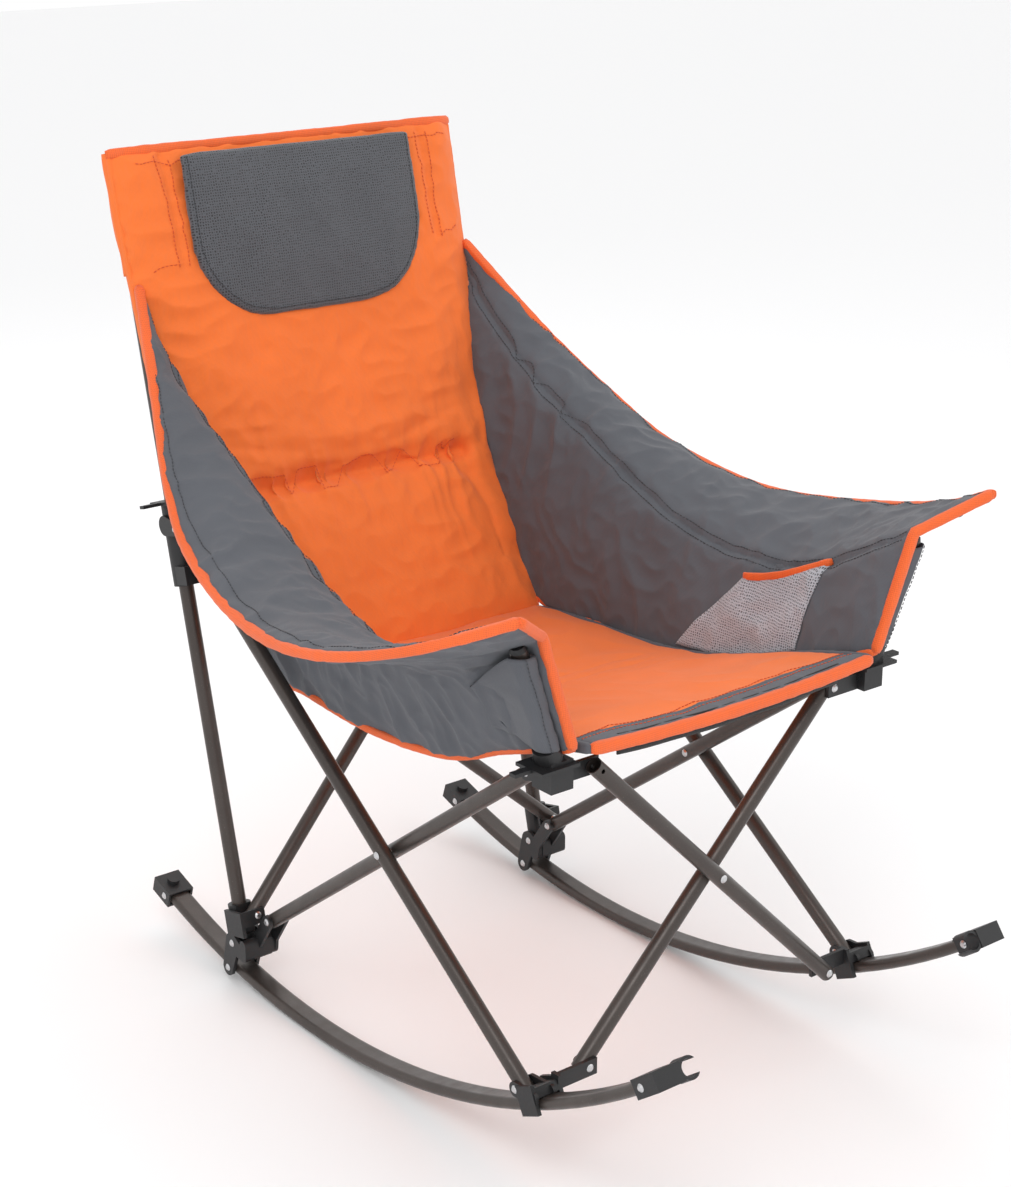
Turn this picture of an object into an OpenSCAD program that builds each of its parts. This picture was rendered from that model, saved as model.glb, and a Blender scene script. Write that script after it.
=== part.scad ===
// Folding camp rocking chair. Millimetres, +Z up, the sitter faces -Y, so left is +X.
// Points written [y, z] lie in a side plane and are measured from the point below the rocker's arc.

/* [Frame tubes] */
// Outside diameter of the legs and posts
tube_d = 19; // [17:0.5:21]
// Wall of the legs and posts
tube_wall = 1.2; // [0.8:0.1:2]
// Half the distance between the two rockers and rear posts
column_x = 247; // [225:1:290]
// Length of each rear post
post_len = 1010; // [850:5:1200]
// Lean of the rear posts from vertical, in degrees
post_lean = 13.2; // [10:0.2:16]

/* [Leg pivots] */
// Height of the inner side leg's pivot at the front hub
hub_pivot_z = 491; // [440:1:540]
// Half the distance between the front cross legs' pivots
front_pin_x = 182; // [150:1:195]
// Half the distance between the back cross legs' pivots
back_pin_x = 241; // [222:1:243]
// Diameter of the rivet shanks
rivet_d = 5; // [4:0.5:6]
// Diameter of the rivet heads
rivet_head_d = 9.6; // [8:0.2:11]
// Running clearance of a shank in its hole, on the radius
pin_gap = 0.05; // [0.02:0.01:0.1]

/* [Rockers] */
// Radius of the rockers' centre line
rocker_r = 1050; // [900:10:1300]
// Width of the flat oval rocker tube
rocker_w = 30; // [24:1:34]
// Height of the flat oval rocker tube
rocker_h = 14; // [12:0.5:16]
// Wall of the rocker tube
rocker_wall = 1.5; // [1:0.1:2.5]
// Angle of the front end cap's rivet, ahead of the lowest point
rocker_front_deg = 37.1; // [33:0.5:42]
// Angle of the rear end cap's rivet, behind the lowest point
rocker_rear_deg = 18.1; // [15:0.5:22]

/* [Seat and back] */
// Half the width of the seat pad
seat_half_w = 213; // [180:1:214]
// Thickness of the seat pad
seat_t = 20; // [14:1:22]
// Thickness of the back pad
back_t = 24; // [14:1:28]
// Thickness of the side panels and arm flaps
side_t = 13; // [8:1:16]
// Height of the head pad
head_h = 215; // [160:5:260]
// Width of the head pad
head_w = 350; // [260:5:420]

/* [Hidden] */
$fn = 48;
right = -1;
left = 1;

// Colours
bronze = [0.27, 0.24, 0.23];
black = [0.09, 0.09, 0.10];
silver = [0.78, 0.78, 0.79];
orange = [1.0, 0.42, 0.13];
grey = [0.36, 0.38, 0.42];
mesh_grey = [0.24, 0.25, 0.28];
pale_mesh = [0.62, 0.64, 0.68];

// Derived sizes
tube_r = tube_d / 2;
lap = tube_d + 0.4;             // two tubes that cross lie this far apart
inner_x = column_x - 15;        // plane of the side leg from the rear foot to the front hub
outer_x = inner_x + tube_d + 1; // plane of the side leg from the front foot to the slider
ear_t = 4.4;
ear_gap = 0.4;
hub_r = tube_r + 5.5;
collar_gap = 0.3;

// Rocker arc
arc_y = 205;
rocker_out_r = rocker_r + rocker_h / 2;
arc_z = rocker_out_r;
foot_deg = 25.7;
rocker_pin_deg = 9;
function arc_point(deg, r = rocker_r) = [arc_y + r * sin(deg), arc_z - r * cos(deg)];

// Side leg pivots, [y, z]
post_foot = [357, 60];
inner_low = [305, 104];
inner_high = [-217, hub_pivot_z];
outer_low = [-225, 121];
outer_high = [453, 597];
front_column_y = -250;
function along_post(s, n) =
    [post_foot.x + s * sin(post_lean) - n * cos(post_lean),
     post_foot.y + s * cos(post_lean) + n * sin(post_lean)];
function post_s(p) =
    (p.x - post_foot.x) * sin(post_lean) + (p.y - post_foot.y) * cos(post_lean);
function post_n(p) =
    (p.y - post_foot.y) * sin(post_lean) - (p.x - post_foot.x) * cos(post_lean);
function meet(a, b, c, d) =
    let (u = b - a, v = d - c, w = c - a)
    a + u * (w.x * v.y - w.y * v.x) / (u.x * v.y - u.y * v.x);
side_cross = meet(inner_low, inner_high, outer_low, outer_high);

// Cross leg pivots
front_low_z = 130;
front_high_z = hub_pivot_z + 1;
back_low_s = 35;
back_high_s = 484;
right_back_n = lap;             // the right back leg lies against the posts
left_back_n = 2 * lap;          // the left back leg lies in front of it
half_ear = tube_r + ear_gap;    // from a tube's centre to the ear beside it
right_front_y = front_column_y + 10;
left_front_y = right_front_y - lap;
leg_end = 8;                    // tube past its pivot

// Arm posts
arm_low = [column_x - 12, front_column_y + 1, front_high_z + 8];
arm_high = [292, -262, 652];

// Fabric
head_top_s = post_len - 8;
pocket_r = 13;
back_wide_s = 655;
back_curve = [[353, 106], [430, 78], [504, 60], [580, 42], [655, 24], [760, 14], [1012, 12]];
seat_front = [-283, 539];
seat_rear = [312, 432];
seat_sag = 30;
steps = 12;

// Stations of the side: [x, y, z] of the panel's foot, of its seam with the arm flap,
// and of the flap's outer edge, from the back to the front
side_foot = [[222, 447, 690], [219, 392, 560], [218, 330, 478], [218, 226, 442],
             [218, 80, 434], [218, -60, 452], [218, -150, 492], [222, -222, 530]];
side_seam = [[238, 494, 850], [242, 438, 775], [245, 353, 712], [249, 226, 645],
             [256, 85, 582], [266, -50, 566], [275, -145, 590], [281, -222, 634]];
flap_in = [[240, 495, 853], [244, 438, 779], [247, 353, 716], [251, 226, 649],
           [258, 85, 586], [268, -50, 570], [277, -150, 600], [279, -276, 668]];
flap_out = [[252, 501, 868], [300, 415, 765], [345, 325, 690], [372, 235, 636],
            [400, 85, 604], [424, -75, 618], [400, -215, 655], [345, -330, 706]];

front_tip_y = arc_point(-rocker_front_deg).x - 29.2;
back_top_y = along_post(post_len, 0).x + pocket_r;
y_mid = (front_tip_y + back_top_y) / 2;

// ---------- helpers ----------
module place() translate([0, -y_mid, 0]) children();

module sided(side) place() mirror([side == right ? 1 : 0, 0, 0]) children();

module plate(x0, x1)
    translate([x0, 0, 0]) rotate([90, 0, 90]) linear_extrude(x1 - x0) children();

module x_rod(x0, x1, p, r)
    translate([x0, p.x, p.y]) rotate([0, 90, 0]) cylinder(h = x1 - x0, r = r);

module tube(len, d = tube_d, wall = tube_wall)
    difference() {
        cylinder(h = len, d = d);
        translate([0, 0, -1]) cylinder(h = len + 2, d = d - 2 * wall);
    }

// A tube in a side plane from p to q, running past both by leg_end
module side_tube(x, p, q) {
    d = q - p;
    translate([x, p.x, p.y]) rotate([atan2(d.y, d.x) - 90, 0, 0])
        translate([0, 0, -leg_end]) tube(norm(d) + 2 * leg_end);
}

module pin_hole(x, p) x_rod(x - tube_d, x + tube_d, p, rivet_d / 2 + pin_gap);

// A rivet along +Z; grip is the stack that it holds, and a blind end has no head
module rivet(grip, low = true, high = true) {
    head_h = 1.8;
    cylinder(h = grip, d = rivet_d);
    if (high) translate([0, 0, grip])
        cylinder(h = head_h, d1 = rivet_head_d, d2 = rivet_head_d * 0.6);
    if (low) translate([0, 0, -head_h])
        cylinder(h = head_h, d1 = rivet_head_d * 0.6, d2 = rivet_head_d);
}

module x_rivet(x0, x1, p, low = true, high = true)
    translate([x0, p.x, p.y]) rotate([0, 90, 0]) rivet(x1 - x0, low, high);

// y1 is the end nearer the back
module y_rivet(y0, y1, x, z, front = true, back = true)
    translate([x, y1, z]) rotate([90, 0, 0]) rivet(y1 - y0, back, front);

module post_frame()
    translate([0, post_foot.x, post_foot.y]) rotate([-post_lean, 0, 0]) children();

// A strap outline between two discs, in the plane of the sheet
module link_2d(p, q, rp, rq) {
    d = q - p;
    len = norm(d);
    k = asin((rp - rq) / len);
    a = atan2(d.y, d.x);
    translate(p) circle(rp);
    translate(q) circle(rq);
    polygon([
        p + rp * [cos(a + 90 - k), sin(a + 90 - k)], q + rq * [cos(a + 90 - k), sin(a + 90 - k)],
        q + rq * [cos(a - 90 + k), sin(a - 90 + k)], p + rp * [cos(a - 90 + k), sin(a - 90 + k)]
    ]);
}

module x_ears(x, p, q, r0 = 9, r1 = 9, inside = true, outside = true) {
    half = half_ear;
    if (inside) plate(x - half - ear_t, x - half) link_2d(p, q, r0, r1);
    if (outside) plate(x + half, x + half + ear_t) link_2d(p, q, r0, r1);
}

// ---------- posts and legs ----------
module rear_post(side)
    color(bronze) sided(side) post_frame() translate([column_x, 0, 0]) difference() {
        translate([0, 0, -12]) tube(post_len + 12);
        rotate([0, 90, 0]) translate([0, 0, -tube_d]) cylinder(h = 2 * tube_d, d = rivet_d + 2 * pin_gap);
    }

module inner_leg(side)
    color(bronze) sided(side) difference() {
        side_tube(inner_x, inner_low, inner_high);
        for (p = [inner_low, side_cross, inner_high]) pin_hole(inner_x, p);
    }

module outer_leg(side)
    color(bronze) sided(side) difference() {
        side_tube(outer_x, outer_low, outer_high);
        for (p = [outer_low, side_cross, outer_high]) pin_hole(outer_x, p);
    }

// A cross leg along +Z of a plane whose normal is +Y, holes along the normal
module cross_leg(half_x, rise) {
    len = norm([2 * half_x, rise]);
    rotate([0, -atan2(2 * half_x, rise), 0]) difference() {
        translate([0, 0, -leg_end]) tube(len + 2 * leg_end);
        for (z = [0, len / 2, len]) translate([0, tube_d, z])
            rotate([90, 0, 0]) cylinder(h = 2 * tube_d, d = rivet_d + 2 * pin_gap);
    }
}

module front_leg(side)
    color(bronze) sided(side)
        translate([front_pin_x, side == right ? right_front_y : left_front_y, front_low_z])
            cross_leg(front_pin_x, front_high_z - front_low_z);

module back_leg(side)
    color(bronze) sided(side) post_frame()
        translate([back_pin_x, side == right ? -right_back_n : -left_back_n, back_low_s])
            cross_leg(back_pin_x, back_high_s - back_low_s);

module arm_post(side) {
    d = arm_high - arm_low;
    color(bronze) sided(side) translate(arm_low)
        rotate([0, acos(d.z / norm(d)), atan2(d.y, d.x)]) tube(norm(d));
}

// ---------- rear foot ----------
module post_socket(side)
    color(black) sided(side) post_frame() translate([column_x, 0, 0]) difference() {
        translate([0, 0, -17]) cylinder(h = 66, r = hub_r);
        translate([0, 0, -13]) cylinder(h = 80, r = tube_r + collar_gap / 2);
        translate([-30, -30 - tube_r - collar_gap, 10]) cube([60, 30, 60]);
        rotate([0, 90, 0]) translate([0, 0, -30]) cylinder(h = 60, d = rivet_d + 2 * pin_gap);
    }

cheek_in = hub_r + 0.5;
cheek_t = 5;
web_y = 325;
module rear_bracket(side) {
    pin = arc_point(rocker_pin_deg);
    x_in = inner_x - half_ear;
    color(black) sided(side) difference() {
        union() {
            for (x = [column_x - cheek_in - cheek_t, column_x + cheek_in]) plate(x, x + cheek_t) {
                link_2d(pin, post_foot, 11, 14);
                link_2d(post_foot, [web_y + 8, 52], 14, 9);
            }
            // web between the cheeks, and the shelf that carries the inner leg's ears
            plate(column_x - cheek_in - cheek_t, column_x + cheek_in + cheek_t)
                link_2d([web_y + 6, 50], [web_y + 6, 66], 7, 7);
            plate(x_in - ear_t, x_in) {
                link_2d(inner_low, [web_y + 6, 66], 9, 9);
                link_2d([web_y + 6, 66], [web_y + 8, 52], 9, 9);
            }
            plate(inner_x + half_ear, inner_x + half_ear + ear_t)
                link_2d(inner_low, [web_y + 6, 66], 9, 9);
            plate(x_in - ear_t, column_x) link_2d([web_y + 6, 62], [web_y + 6, 50], 6, 6);
        }
        for (p = [pin, inner_low, post_foot]) x_rod(0, 400, p, rivet_d / 2 + pin_gap);
        post_frame() back_end_room(side, back_low_s);
        // room for the head of the back leg's rivet
        post_frame() translate([back_pin_x, -back_n(side), back_low_s]) rotate([90, 0, 0])
            cylinder(h = half_ear + 2.4, d = rivet_head_d + 0.6);
    }
    color(black) sided(side) back_ear(side);
}

// The back leg's depth ahead of the post, and the depth at which its ear starts:
// ahead of the right leg, behind the left one
function back_n(leg) = leg == right ? right_back_n : left_back_n;
function back_ear_n(leg) = leg == right ? right_back_n + half_ear : left_back_n - half_ear - ear_t;

// Room for a back leg's end to turn in, at height s
module back_end_room(leg, s)
    translate([back_pin_x, -back_n(leg) + half_ear - 0.1, s]) rotate([90, 0, 0])
        cylinder(h = 2 * half_ear - 0.2, r = norm([leg_end, tube_r]) + 0.6);

// Ear of the back leg's foot, carried out from the bracket's outer cheek
module back_ear(side) {
    n = back_ear_n(side);
    post_frame() difference() {
        union() {
            translate([back_pin_x - 10, -n - ear_t, back_low_s - 11])
                cube([column_x + cheek_in + cheek_t - back_pin_x + 10, ear_t, 20]);
            translate([column_x + cheek_in, -n - ear_t, back_low_s - 24])
                cube([cheek_t, n + ear_t + 6, 33]);
        }
        translate([back_pin_x, 0, back_low_s]) rotate([90, 0, 0])
            cylinder(h = 100, d = rivet_d + 2 * pin_gap);
    }
}

module rear_rivets(side) {
    n = back_n(side);
    wide = cheek_in + cheek_t;
    front = side == right ? back_ear_n(side) + ear_t : n + tube_r + 0.2;
    color(silver) sided(side) {
        x_rivet(column_x - wide, column_x + wide, arc_point(rocker_pin_deg));
        x_rivet(column_x - wide, column_x + wide, post_foot);
        x_rivet(inner_x - half_ear - ear_t, inner_x + half_ear + ear_t, inner_low);
        post_frame() y_rivet(-front, side == right ? -n + tube_r - 0.3 : -back_ear_n(side),
                             back_pin_x, back_low_s, back = side == left);
    }
}

// ---------- front foot ----------
strap_len = 30;
module front_foot(side) {
    c = arc_point(-foot_deg);
    leg_y = side == right ? right_front_y : left_front_y;
    ear_y = side == right ? leg_y - half_ear - ear_t : leg_y + half_ear;
    half = rocker_w / 2 + 0.5;
    x_in = outer_x - half_ear;
    color(black) sided(side) difference() {
        union() {
            translate([column_x, c.x, c.y]) rotate([-foot_deg, 0, 0]) {
                for (x = [-half - 5, half]) translate([x, -strap_len / 2, -rocker_h / 2 - 3])
                    cube([5, strap_len, rocker_h + 20]);
                translate([-half - 5, -strap_len / 2, rocker_h / 2])
                    cube([2 * half + 10, strap_len - 12, 13]);
            }
            // ears of the outer side leg
            plate(x_in - ear_t, x_in) link_2d(outer_low, c + [-6, 14], 9, 8);
            plate(outer_x + half_ear, outer_x + half_ear + ear_t)
                link_2d(outer_low, c + [-4, 12], 9, 9);
            // arm and ear of the cross leg
            translate([front_pin_x - 10, ear_y, front_low_z - 10]) cube([column_x - half - front_pin_x + 10, ear_t, 20]);
            translate([column_x - half - 5, ear_y - 4, front_low_z - 10]) cube([5, ear_t + 8, 20]);
        }
        // channel that straddles the rocker, open below
        translate([column_x, c.x, c.y]) rotate([-foot_deg, 0, 0])
            translate([-half, -40, -60]) cube([2 * half, 80, 60 + rocker_h / 2 + 0.9]);
        x_rod(x_in - 10, 400, outer_low, rivet_d / 2 + pin_gap);
        x_rod(outer_x + half_ear + ear_t, 400, outer_low, rivet_head_d / 2 + 0.3);
        translate([front_pin_x, 0, front_low_z]) rotate([90, 0, 0])
            cylinder(h = 400, d = rivet_d + 2 * pin_gap);
    }
}

module foot_rivets(side) {
    leg_y = side == right ? right_front_y : left_front_y;
    reach = half_ear + ear_t;
    color(silver) sided(side) {
        x_rivet(outer_x - reach, outer_x + reach, outer_low);
        y_rivet(side == right ? leg_y - reach : leg_y - tube_r - 0.2,
                side == right ? leg_y + tube_r + 0.2 : leg_y + reach, front_pin_x, front_low_z);
    }
}

// ---------- front hub ----------
module front_hub(side) {
    leg_y = side == right ? left_front_y : right_front_y;
    ear_y = side == right ? leg_y + half_ear : leg_y - half_ear - ear_t;
    d = arm_high - arm_low;
    body = [30, 32, 34];
    color(black) sided(side) difference() {
        union() {
            translate([arm_low.x - body.x / 2, arm_low.y - body.y / 2, arm_low.z - 18]) cube(body);
            // flange plate that the fabric's corner lies on, with its thin prong
            translate([seat_half_w + 3, arm_low.y - 22, arm_low.z + 8])
                cube([arm_low.x + 32 - seat_half_w - 3, 44, 4]);
            translate([arm_low.x + 20, arm_low.y - 5, arm_low.z + 8]) cube([34, 10, 4]);
            translate(arm_low) rotate([0, acos(d.z / norm(d)), atan2(d.y, d.x)]) rotate([0, 0, 33])
                cylinder(h = 34, r = hub_r);
            x_ears(inner_x, inner_high, [arm_low.y, arm_low.z], 9, 9, true, true);
            translate([front_pin_x - 10, ear_y, front_high_z - 10])
                cube([arm_low.x - front_pin_x + 4, ear_t, 20]);
        }
        translate(arm_low) rotate([0, acos(d.z / norm(d)), atan2(d.y, d.x)]) rotate([0, 0, 33])
            translate([0, 0, -0.2]) cylinder(h = 60, r = tube_r + collar_gap / 2);
        // room for the inner leg's end as it turns
        x_rod(inner_x - half_ear, inner_x + half_ear, inner_high, tube_r + leg_end + 2);
        x_rod(0, 400, inner_high, rivet_d / 2 + pin_gap);
        translate([front_pin_x, 0, front_high_z]) rotate([90, 0, 0])
            cylinder(h = 400, d = rivet_d + 2 * pin_gap);
    }
}

module hub_rivets(side) {
    leg_y = side == right ? left_front_y : right_front_y;
    ear_y = side == right ? leg_y + half_ear : leg_y - half_ear - ear_t;
    reach = half_ear + ear_t;
    color(silver) sided(side) {
        x_rivet(inner_x - reach, inner_x + reach, inner_high);
        y_rivet(ear_y, ear_y + ear_t, front_pin_x, front_high_z, side == left, side == right);
    }
}

module arm_cap(side) {
    d = arm_high - arm_low;
    color(black) sided(side) translate(arm_low) rotate([0, acos(d.z / norm(d)), atan2(d.y, d.x)])
        translate([0, 0, norm(d)]) {
            cylinder(h = 5, r1 = tube_r, r2 = tube_r - 2);
            translate([0, 0, -12]) cylinder(h = 12.5, r = tube_r - tube_wall);
        }
}

module arm_sleeve(side) {
    d = arm_high - arm_low;
    color(grey) sided(side) translate(arm_low) rotate([0, acos(d.z / norm(d)), atan2(d.y, d.x)])
        difference() {
            translate([0, 0, 36]) cylinder(h = norm(d) - 38, r = tube_r + 4);
            cylinder(h = norm(d) + 10, r = tube_r + 0.4);
        }
}

// ---------- slider ----------
module slider_hub(side) {
    leg = -side;                        // the back leg of the other side ends here
    n = back_ear_n(leg);
    s_top = post_s(outer_high);
    high = [-post_n(outer_high), s_top];
    color(black) sided(side) post_frame() difference() {
        union() {
            translate([column_x, 0, back_high_s - 14]) cylinder(h = s_top - back_high_s + 48, r = hub_r);
            // flange and its prong
            translate([column_x - 20, -22, s_top + 30]) cube([40, 44, 4]);
            translate([column_x + 10, -5, s_top + 30]) cube([34, 10, 4]);
            // ears of the outer side leg
            for (x = [outer_x - half_ear - ear_t, outer_x + half_ear])
                plate(x, x + ear_t) link_2d(high, [-4, s_top + 4], 9, 13);
            // arm and ear of the back leg
            translate([column_x + 8.5, -n - ear_t, back_high_s - 12]) cube([6, n + ear_t + 4, 24]);
            translate([back_pin_x - 11, -n - ear_t, back_high_s - 12])
                cube([column_x + 14.5 - back_pin_x + 11, ear_t, 24]);
        }
        translate([column_x, 0, 0]) cylinder(h = 2000, r = tube_r + collar_gap);
        back_end_room(leg, back_high_s);
        if (leg == right) translate([0, -right_back_n - half_ear + 0.1, back_high_s - 30])
            cube([column_x + 8.5, 2 * half_ear - 0.2, 68]);
        // room for the outer leg's end as it turns
        plate(outer_x - half_ear, outer_x + half_ear) translate(high) circle(norm([leg_end, tube_r]) + 0.8);
        plate(0, 400) translate(high) circle(rivet_d / 2 + pin_gap);
        translate([back_pin_x, 0, back_high_s]) rotate([90, 0, 0])
            cylinder(h = 100, d = rivet_d + 2 * pin_gap);
    }
}

module slider_rivets(side) {
    leg = -side;
    n = back_ear_n(leg);
    high = [-post_n(outer_high), post_s(outer_high)];
    color(silver) sided(side) post_frame() {
        x_rivet(outer_x - half_ear - ear_t, outer_x - half_ear, high, high = false);
        x_rivet(outer_x + half_ear, outer_x + half_ear + ear_t, high, low = false);
        y_rivet(-n - ear_t, -n, back_pin_x, back_high_s, leg == right, leg == left);
    }
}

// ---------- crossing rivets ----------
module side_rivet(side)
    color(silver) sided(side) x_rivet(inner_x - tube_r - 0.2, outer_x + tube_r + 0.2, side_cross);

module front_cross_rivet()
    color(silver) place()
        y_rivet(left_front_y - tube_r - 0.2, left_front_y + tube_r, 0, (front_low_z + front_high_z) / 2,
                back = false);

module back_cross_rivet()
    color(silver) place() post_frame()
        y_rivet(-left_back_n - tube_r - 0.2, -right_back_n + tube_r + 0.2, 0, (back_low_s + back_high_s) / 2);

// ---------- rockers ----------
module oval_2d(w, h) {
    square([h, w - h], center = true);
    for (k = [-1, 1]) translate([0, k * (w - h) / 2]) circle(d = h);
}

// An arc about the rocker's axis, from a0 to a1 degrees behind the lowest point
module rocker_arc(a0, a1)
    translate([column_x, arc_y, arc_z]) rotate([0, 90, 0]) rotate([0, 0, a0])
        rotate_extrude(angle = a1 - a0, $fn = 360) translate([rocker_r, 0]) children();

module rocker(side)
    color(bronze) sided(side) difference() {
        rocker_arc(-rocker_front_deg - 0.45, rocker_rear_deg + 0.45) difference() {
            oval_2d(rocker_w, rocker_h);
            oval_2d(rocker_w - 2 * rocker_wall, rocker_h - 2 * rocker_wall);
        }
        x_rod(100, 400, arc_point(rocker_pin_deg), rivet_d / 2 + pin_gap);
        for (a = [-rocker_front_deg, rocker_rear_deg]) x_rod(100, 400, arc_point(a), rivet_d / 2 + pin_gap);
    }

// An end cap over the rocker's end, centred on its rivet; dir is -1 at the front, 1 at the rear
module cap_shell(deg, dir) {
    c = arc_point(deg);
    w = rocker_w + 7;
    h = rocker_h + 8;
    translate([column_x, c.x, c.y]) rotate([deg, 0, 0]) difference() {
        translate([-w / 2, dir > 0 ? -12 : -28, -h / 2]) cube([w, 40, h]);
        translate([-rocker_w / 2 - 0.3, dir > 0 ? -40 : -9.5, -rocker_h / 2 - 1])
            cube([rocker_w + 0.6, 49.5, rocker_h + 2.4]);
        rotate([0, 90, 0]) translate([0, 0, -40]) cylinder(h = 80, d = rivet_d + 2 * pin_gap);
    }
}

module front_cap(side) {
    c = arc_point(-rocker_front_deg);
    w = rocker_w + 7;
    clip_r = tube_r + 3.4;
    color(black) sided(side) {
        cap_shell(-rocker_front_deg, -1);
        // open clip on the inner face, sized to a frame tube
        translate([column_x - w / 2 - clip_r + 2.5, c.x, c.y]) rotate([-rocker_front_deg, 0, 0])
            rotate([90, 0, 0]) translate([0, 0, 7]) difference() {
                cylinder(h = 20, r = clip_r);
                translate([0, 0, -1]) cylinder(h = 22, r = tube_r + 0.3);
                translate([-clip_r - 10, -tube_r * 0.8, -1]) cube([clip_r + 4, tube_r * 1.6, 22]);
            }
    }
}

module rear_cap(side) {
    c = arc_point(rocker_rear_deg);
    color(black) sided(side) {
        cap_shell(rocker_rear_deg, 1);
        translate([column_x, c.x, c.y]) rotate([rocker_rear_deg, 0, 0])
            translate([0, 10, rocker_h / 2]) cylinder(h = 10, r = 8);
    }
}

module cap_rivets(side) {
    w = rocker_w + 7;
    color(silver) sided(side) for (a = [-rocker_front_deg, rocker_rear_deg])
        x_rivet(column_x - w / 2, column_x + w / 2, arc_point(a));
}

// ---------- fabric ----------
// The back pad in the post frame: a slab with its foot swept forward, and pockets over the posts
module back_panel() {
    rear = [for (p = back_curve) [-p[1], p[0]]];
    front = [for (i = [len(back_curve) - 1 : -1 : 0]) [-back_curve[i][1] - back_t, back_curve[i][0]]];
    color(orange) place() post_frame() difference() {
        union() {
            plate(-seat_half_w, seat_half_w) polygon(concat(rear, front));
            difference() {
                plate(-column_x - pocket_r, column_x + pocket_r) polygon(concat(rear, front));
                translate([-400, -400, 0]) cube([800, 800, back_wide_s]);
            }
            for (x = [-column_x, column_x]) translate([x, 0, post_len - 150])
                cylinder(h = 152, r = pocket_r);
        }
        for (x = [-column_x, column_x]) translate([x, 0, 0]) cylinder(h = post_len + 0.5, r = tube_r + 0.4);
    }
}

module head_pad() {
    corner = 105;
    color(mesh_grey) place() post_frame() translate([0, -12 - back_t - 2.5, head_top_s])
        rotate([90, 0, 0]) linear_extrude(20) {
            translate([-head_w / 2, corner - head_h]) square([head_w, head_h - corner]);
            translate([corner - head_w / 2, -head_h]) square([head_w - 2 * corner, head_h]);
            for (x = [corner - head_w / 2, head_w / 2 - corner]) translate([x, corner - head_h]) circle(corner);
        }
}

function seat_line(t, up) =
    [seat_front.x + t * (seat_rear.x - seat_front.x),
     seat_front.y + t * (seat_rear.y - seat_front.y) - seat_sag * pow(sin(180 * t), 2) + up];
module seat_panel()
    color(orange) place() plate(-seat_half_w, seat_half_w) polygon(concat(
        [for (i = [0 : steps]) seat_line(i / steps, 0)],
        [for (i = [steps : -1 : 0]) seat_line(i / steps, -seat_t)]));

module front_strap()
    color(black) place() translate([-front_pin_x + 14, left_front_y - tube_r - 12, front_high_z - 8])
        cube([2 * front_pin_x - 28, 2.5, 24]);

// A closed skin between two rows of stations, thick by the vector t
module skin(a, b, t) {
    m = len(a);
    pts = concat(a, b, [for (p = b) p + t], [for (p = a) p + t]);
    polyhedron(points = pts, faces = concat(
        [for (i = [0 : m - 2], k = [0 : 3]) let (r = k * m, q = ((k + 1) % 4) * m)
            each [[r + i, r + i + 1, q + i + 1], [r + i, q + i + 1, q + i]]],
        [[0, m, 2 * m], [0, 2 * m, 3 * m]],
        [[m - 1, 3 * m - 1, 2 * m - 1], [m - 1, 4 * m - 1, 3 * m - 1]]));
}

module side_panel(side) color(grey) sided(side) skin(side_foot, side_seam, [side_t, 0, 0]);

module arm_flap(side) color(grey) sided(side) skin(flap_out, flap_in, [0, 0, side_t]);

// The pouch stands on the inside of the left panel: a skin with its inside taken out, open on top
module mesh_pocket() {
    rows = [for (i = [4 : 6]) i];
    mouth = 0.72;
    foot = [for (i = rows) side_foot[i] + 0.22 * (side_seam[i] - side_foot[i])];
    top = [for (i = rows) side_foot[i] + mouth * (side_seam[i] - side_foot[i])];
    deep = 16;
    color(pale_mesh) place() difference() {
        skin(foot, top, [-deep, 0, 0]);
        translate([-2.5, 0, 4]) skin(
            [for (i = [0 : 2]) foot[i] + [0, 5 - 5 * i, 0]],
            [for (i = [0 : 2]) top[i] + [0, 5 - 5 * i, 10]], [5 - deep, 0, 0]);
    }
}

rear_post(right);  // right_rear_post
rear_post(left);  // left_rear_post
post_socket(right);  // right_post_socket
post_socket(left);  // left_post_socket
rear_bracket(right);  // right_rear_bracket
rear_bracket(left);  // left_rear_bracket
rear_rivets(right);  // right_rear_rivets
rear_rivets(left);  // left_rear_rivets
inner_leg(right);  // right_inner_leg
inner_leg(left);  // left_inner_leg
side_rivet(right);  // right_side_rivet
side_rivet(left);  // left_side_rivet
outer_leg(right);  // right_outer_leg
outer_leg(left);  // left_outer_leg
front_foot(right);  // right_front_foot
front_foot(left);  // left_front_foot
foot_rivets(right);  // right_foot_rivets
foot_rivets(left);  // left_foot_rivets
front_hub(right);  // right_front_hub
front_hub(left);  // left_front_hub
hub_rivets(right);  // right_hub_rivets
hub_rivets(left);  // left_hub_rivets
arm_post(right);  // right_arm_post
arm_post(left);  // left_arm_post
arm_cap(right);  // right_arm_cap
arm_cap(left);  // left_arm_cap
arm_sleeve(right);  // right_arm_sleeve
arm_sleeve(left);  // left_arm_sleeve
slider_hub(right);  // right_slider_hub
slider_hub(left);  // left_slider_hub
slider_rivets(right);  // right_slider_rivets
slider_rivets(left);  // left_slider_rivets
front_leg(right);  // right_front_leg
front_leg(left);  // left_front_leg
front_cross_rivet();
back_leg(right);  // right_back_leg
back_leg(left);  // left_back_leg
back_cross_rivet();
rocker(right);  // right_rocker
rocker(left);  // left_rocker
front_cap(right);  // right_front_cap
front_cap(left);  // left_front_cap
rear_cap(right);  // right_rear_cap
rear_cap(left);  // left_rear_cap
cap_rivets(right);  // right_cap_rivets
cap_rivets(left);  // left_cap_rivets
back_panel();
head_pad();
seat_panel();
front_strap();
side_panel(right);  // right_side_panel
side_panel(left);  // left_side_panel
arm_flap(right);  // right_arm_flap
arm_flap(left);  // left_arm_flap
mesh_pocket();
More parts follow.
